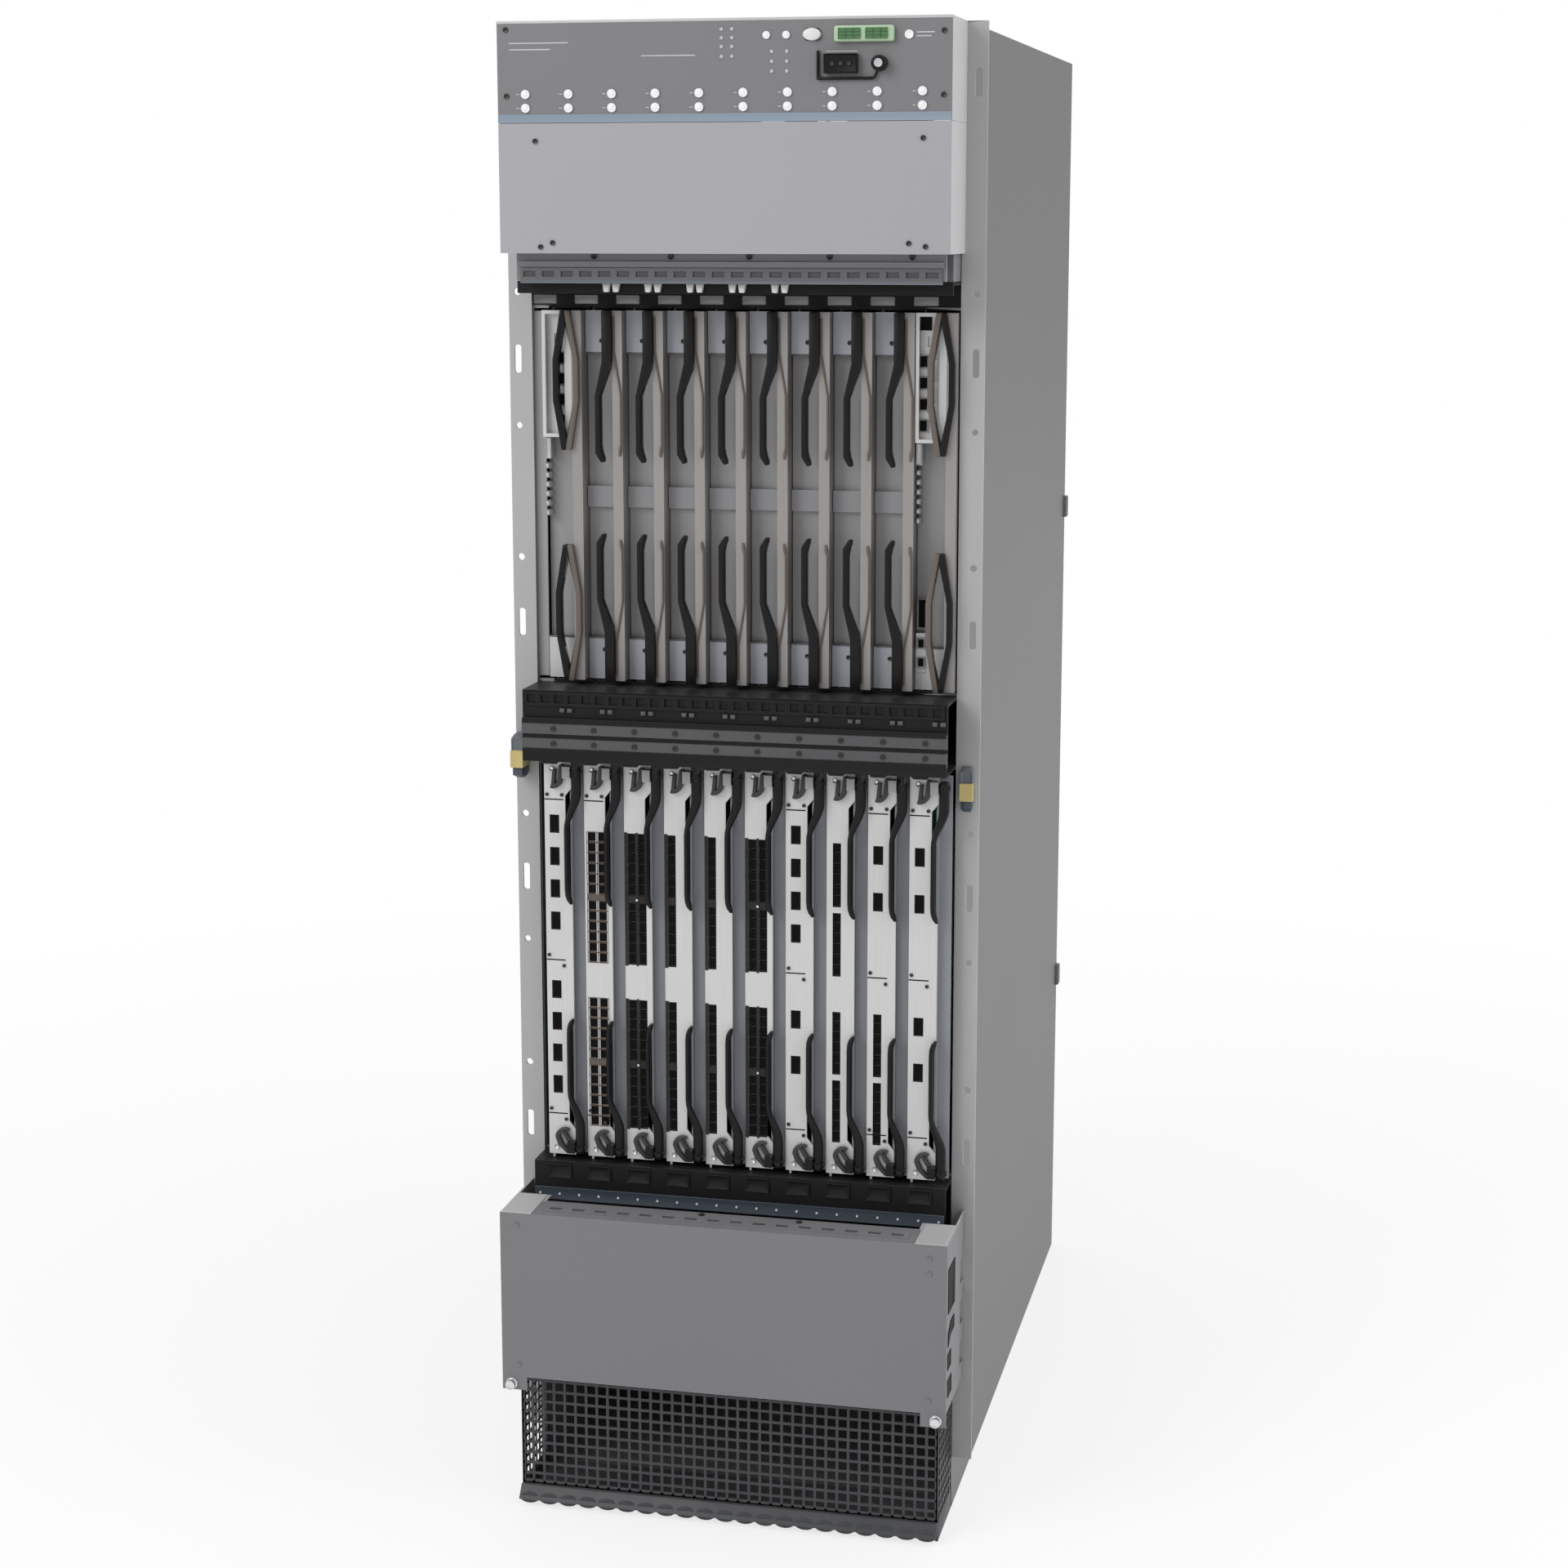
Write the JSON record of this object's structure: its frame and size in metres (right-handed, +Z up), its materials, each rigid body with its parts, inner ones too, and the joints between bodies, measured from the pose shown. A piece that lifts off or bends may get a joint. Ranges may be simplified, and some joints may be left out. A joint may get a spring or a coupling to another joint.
{
  "type": "ethernet router",
  "caption": "Tall rack-mount modular router chassis with sliding line cards, fabric boards, ejector levers, status panel and perforated air intake.",
  "frame": {"origin": "centre of the bounding box at floor level", "axes": "+Z up, +X to the right seen from the front, front faces -Y"},
  "size_m": [0.4826, 0.919, 1.5113],
  "materials": {
    "painted_sheet": "satin powder coat",
    "zinc_sheet": "zinc-plated sheet",
    "circuit_board": "solder mask",
    "black_trim": "moulded black",
    "dark_mesh": "dark powder coat",
    "lamp_lens": "clear lens",
    "light_plastic": "moulded light grey",
    "green_plastic": "moulded green",
    "card_metal": "bright passivated",
    "fabric_paint": "satin grey"
  },
  "bodies": {
    "chassis": {"outer_wrap": "painted_sheet", "base_pan": "painted_sheet", "upper_access_panel": "painted_sheet", "status_panel": "painted_sheet", "rear_cover": "painted_sheet", "rear_fan_tray": "painted_sheet", "lower_cover": "painted_sheet", "card_cage": "zinc_sheet", "midplane": "circuit_board", "upper_card_rail": "black_trim", "middle_card_rail": "black_trim", "lower_card_rail": "black_trim", "intake_grille": "dark_mesh", "status_lamps": "lamp_lens", "relay_terminals": "green_plastic", "service_port": "black_trim", "power_modules": "zinc_sheet"},
    "line_card_01": {"line_card_01": "card_metal"},
    "line_card_01_upper_lever": {"line_card_01_upper_lever": "black_trim"},
    "line_card_01_lower_lever": {"line_card_01_lower_lever": "black_trim"},
    "line_card_02": {"line_card_02": "card_metal"},
    "line_card_02_upper_lever": {"line_card_02_upper_lever": "black_trim"},
    "line_card_02_lower_lever": {"line_card_02_lower_lever": "black_trim"},
    "line_card_03": {"line_card_03": "card_metal"},
    "line_card_03_upper_lever": {"line_card_03_upper_lever": "black_trim"},
    "line_card_03_lower_lever": {"line_card_03_lower_lever": "black_trim"},
    "line_card_04": {"line_card_04": "card_metal"},
    "line_card_04_upper_lever": {"line_card_04_upper_lever": "black_trim"},
    "line_card_04_lower_lever": {"line_card_04_lower_lever": "black_trim"},
    "line_card_05": {"line_card_05": "card_metal"},
    "line_card_05_upper_lever": {"line_card_05_upper_lever": "black_trim"},
    "line_card_05_lower_lever": {"line_card_05_lower_lever": "black_trim"},
    "line_card_06": {"line_card_06": "card_metal"},
    "line_card_06_upper_lever": {"line_card_06_upper_lever": "black_trim"},
    "line_card_06_lower_lever": {"line_card_06_lower_lever": "black_trim"},
    "line_card_07": {"line_card_07": "card_metal"},
    "line_card_07_upper_lever": {"line_card_07_upper_lever": "black_trim"},
    "line_card_07_lower_lever": {"line_card_07_lower_lever": "black_trim"},
    "line_card_08": {"line_card_08": "card_metal"},
    "line_card_08_upper_lever": {"line_card_08_upper_lever": "black_trim"},
    "line_card_08_lower_lever": {"line_card_08_lower_lever": "black_trim"},
    "line_card_09": {"line_card_09": "card_metal"},
    "line_card_09_upper_lever": {"line_card_09_upper_lever": "black_trim"},
    "line_card_09_lower_lever": {"line_card_09_lower_lever": "black_trim"},
    "line_card_10": {"line_card_10": "card_metal"},
    "line_card_10_upper_lever": {"line_card_10_upper_lever": "black_trim"},
    "line_card_10_lower_lever": {"line_card_10_lower_lever": "black_trim"},
    "control_board_left": {"control_board_left": "card_metal"},
    "fabric_board_1": {"fabric_board_1": "fabric_paint"},
    "fabric_board_2": {"fabric_board_2": "fabric_paint"},
    "fabric_board_3": {"fabric_board_3": "fabric_paint"},
    "fabric_board_4": {"fabric_board_4": "fabric_paint"},
    "fabric_board_5": {"fabric_board_5": "fabric_paint"},
    "fabric_board_6": {"fabric_board_6": "fabric_paint"},
    "fabric_board_7": {"fabric_board_7": "fabric_paint"},
    "fabric_board_8": {"fabric_board_8": "fabric_paint"},
    "control_board_right": {"control_board_right": "card_metal"},
    "alarm_button": {"alarm_button": "light_plastic"},
    "fan_rotor_left": {"fan_rotor_left": "black_trim"},
    "fan_rotor_right": {"fan_rotor_right": "black_trim"}
  },
  "joints": [
    {"name": "line_card_01_slide", "type": "slide", "parent": "chassis", "child": "line_card_01", "axis": [0, -1, 0], "range_m": [0, 0.4]},
    {"name": "line_card_01_upper_lever_hinge", "type": "hinge", "parent": "line_card_01", "child": "line_card_01_upper_lever", "pos_m": [-0.1688, -0.3796, 0.772], "axis": [-1, 0, 0], "range_deg": [0, 65]},
    {"name": "line_card_01_lower_lever_hinge", "type": "hinge", "parent": "line_card_01", "child": "line_card_01_lower_lever", "pos_m": [-0.1688, -0.3796, 0.374], "axis": [1, 0, 0], "range_deg": [0, 65]},
    {"name": "line_card_02_slide", "type": "slide", "parent": "chassis", "child": "line_card_02", "axis": [0, -1, 0], "range_m": [0, 0.4]},
    {"name": "line_card_02_upper_lever_hinge", "type": "hinge", "parent": "line_card_02", "child": "line_card_02_upper_lever", "pos_m": [-0.1266, -0.3796, 0.772], "axis": [-1, 0, 0], "range_deg": [0, 65]},
    {"name": "line_card_02_lower_lever_hinge", "type": "hinge", "parent": "line_card_02", "child": "line_card_02_lower_lever", "pos_m": [-0.1266, -0.3796, 0.374], "axis": [1, 0, 0], "range_deg": [0, 65]},
    {"name": "line_card_03_slide", "type": "slide", "parent": "chassis", "child": "line_card_03", "axis": [0, -1, 0], "range_m": [0, 0.4]},
    {"name": "line_card_03_upper_lever_hinge", "type": "hinge", "parent": "line_card_03", "child": "line_card_03_upper_lever", "pos_m": [-0.0844, -0.3796, 0.772], "axis": [-1, 0, 0], "range_deg": [0, 65]},
    {"name": "line_card_03_lower_lever_hinge", "type": "hinge", "parent": "line_card_03", "child": "line_card_03_lower_lever", "pos_m": [-0.0844, -0.3796, 0.374], "axis": [1, 0, 0], "range_deg": [0, 65]},
    {"name": "line_card_04_slide", "type": "slide", "parent": "chassis", "child": "line_card_04", "axis": [0, -1, 0], "range_m": [0, 0.4]},
    {"name": "line_card_04_upper_lever_hinge", "type": "hinge", "parent": "line_card_04", "child": "line_card_04_upper_lever", "pos_m": [-0.0422, -0.3796, 0.772], "axis": [-1, 0, 0], "range_deg": [0, 65]},
    {"name": "line_card_04_lower_lever_hinge", "type": "hinge", "parent": "line_card_04", "child": "line_card_04_lower_lever", "pos_m": [-0.0422, -0.3796, 0.374], "axis": [1, 0, 0], "range_deg": [0, 65]},
    {"name": "line_card_05_slide", "type": "slide", "parent": "chassis", "child": "line_card_05", "axis": [0, -1, 0], "range_m": [0, 0.4]},
    {"name": "line_card_05_upper_lever_hinge", "type": "hinge", "parent": "line_card_05", "child": "line_card_05_upper_lever", "pos_m": [0, -0.3796, 0.772], "axis": [-1, 0, 0], "range_deg": [0, 65]},
    {"name": "line_card_05_lower_lever_hinge", "type": "hinge", "parent": "line_card_05", "child": "line_card_05_lower_lever", "pos_m": [0, -0.3796, 0.374], "axis": [1, 0, 0], "range_deg": [0, 65]},
    {"name": "line_card_06_slide", "type": "slide", "parent": "chassis", "child": "line_card_06", "axis": [0, -1, 0], "range_m": [0, 0.4]},
    {"name": "line_card_06_upper_lever_hinge", "type": "hinge", "parent": "line_card_06", "child": "line_card_06_upper_lever", "pos_m": [0.0422, -0.3796, 0.772], "axis": [-1, 0, 0], "range_deg": [0, 65]},
    {"name": "line_card_06_lower_lever_hinge", "type": "hinge", "parent": "line_card_06", "child": "line_card_06_lower_lever", "pos_m": [0.0422, -0.3796, 0.374], "axis": [1, 0, 0], "range_deg": [0, 65]},
    {"name": "line_card_07_slide", "type": "slide", "parent": "chassis", "child": "line_card_07", "axis": [0, -1, 0], "range_m": [0, 0.4]},
    {"name": "line_card_07_upper_lever_hinge", "type": "hinge", "parent": "line_card_07", "child": "line_card_07_upper_lever", "pos_m": [0.0844, -0.3796, 0.772], "axis": [-1, 0, 0], "range_deg": [0, 65]},
    {"name": "line_card_07_lower_lever_hinge", "type": "hinge", "parent": "line_card_07", "child": "line_card_07_lower_lever", "pos_m": [0.0844, -0.3796, 0.374], "axis": [1, 0, 0], "range_deg": [0, 65]},
    {"name": "line_card_08_slide", "type": "slide", "parent": "chassis", "child": "line_card_08", "axis": [0, -1, 0], "range_m": [0, 0.4]},
    {"name": "line_card_08_upper_lever_hinge", "type": "hinge", "parent": "line_card_08", "child": "line_card_08_upper_lever", "pos_m": [0.1266, -0.3796, 0.772], "axis": [-1, 0, 0], "range_deg": [0, 65]},
    {"name": "line_card_08_lower_lever_hinge", "type": "hinge", "parent": "line_card_08", "child": "line_card_08_lower_lever", "pos_m": [0.1266, -0.3796, 0.374], "axis": [1, 0, 0], "range_deg": [0, 65]},
    {"name": "line_card_09_slide", "type": "slide", "parent": "chassis", "child": "line_card_09", "axis": [0, -1, 0], "range_m": [0, 0.4]},
    {"name": "line_card_09_upper_lever_hinge", "type": "hinge", "parent": "line_card_09", "child": "line_card_09_upper_lever", "pos_m": [0.1688, -0.3796, 0.772], "axis": [-1, 0, 0], "range_deg": [0, 65]},
    {"name": "line_card_09_lower_lever_hinge", "type": "hinge", "parent": "line_card_09", "child": "line_card_09_lower_lever", "pos_m": [0.1688, -0.3796, 0.374], "axis": [1, 0, 0], "range_deg": [0, 65]},
    {"name": "line_card_10_slide", "type": "slide", "parent": "chassis", "child": "line_card_10", "axis": [0, -1, 0], "range_m": [0, 0.4]},
    {"name": "line_card_10_upper_lever_hinge", "type": "hinge", "parent": "line_card_10", "child": "line_card_10_upper_lever", "pos_m": [0.211, -0.3796, 0.772], "axis": [-1, 0, 0], "range_deg": [0, 65]},
    {"name": "line_card_10_lower_lever_hinge", "type": "hinge", "parent": "line_card_10", "child": "line_card_10_lower_lever", "pos_m": [0.211, -0.3796, 0.374], "axis": [1, 0, 0], "range_deg": [0, 65]},
    {"name": "control_board_left_slide", "type": "slide", "parent": "chassis", "child": "control_board_left", "axis": [0, -1, 0], "range_m": [0, 0.4]},
    {"name": "fabric_board_1_slide", "type": "slide", "parent": "chassis", "child": "fabric_board_1", "axis": [0, -1, 0], "range_m": [0, 0.4]},
    {"name": "fabric_board_2_slide", "type": "slide", "parent": "chassis", "child": "fabric_board_2", "axis": [0, -1, 0], "range_m": [0, 0.4]},
    {"name": "fabric_board_3_slide", "type": "slide", "parent": "chassis", "child": "fabric_board_3", "axis": [0, -1, 0], "range_m": [0, 0.4]},
    {"name": "fabric_board_4_slide", "type": "slide", "parent": "chassis", "child": "fabric_board_4", "axis": [0, -1, 0], "range_m": [0, 0.4]},
    {"name": "fabric_board_5_slide", "type": "slide", "parent": "chassis", "child": "fabric_board_5", "axis": [0, -1, 0], "range_m": [0, 0.4]},
    {"name": "fabric_board_6_slide", "type": "slide", "parent": "chassis", "child": "fabric_board_6", "axis": [0, -1, 0], "range_m": [0, 0.4]},
    {"name": "fabric_board_7_slide", "type": "slide", "parent": "chassis", "child": "fabric_board_7", "axis": [0, -1, 0], "range_m": [0, 0.4]},
    {"name": "fabric_board_8_slide", "type": "slide", "parent": "chassis", "child": "fabric_board_8", "axis": [0, -1, 0], "range_m": [0, 0.4]},
    {"name": "control_board_right_slide", "type": "slide", "parent": "chassis", "child": "control_board_right", "axis": [0, -1, 0], "range_m": [0, 0.4]},
    {"name": "alarm_button_press", "type": "slide", "parent": "chassis", "child": "alarm_button", "axis": [0, 1, 0], "range_m": [0, 0.0015], "stiffness_N_per_m": 400},
    {"name": "fan_rotor_left_spin", "type": "hinge", "parent": "chassis", "child": "fan_rotor_left", "pos_m": [-0.1095, 0.43, 1.37615], "axis": [0, 1, 0], "continuous": true},
    {"name": "fan_rotor_right_spin", "type": "hinge", "parent": "chassis", "child": "fan_rotor_right", "pos_m": [0.1095, 0.43, 1.37615], "axis": [0, 1, 0], "continuous": true}
  ]
}
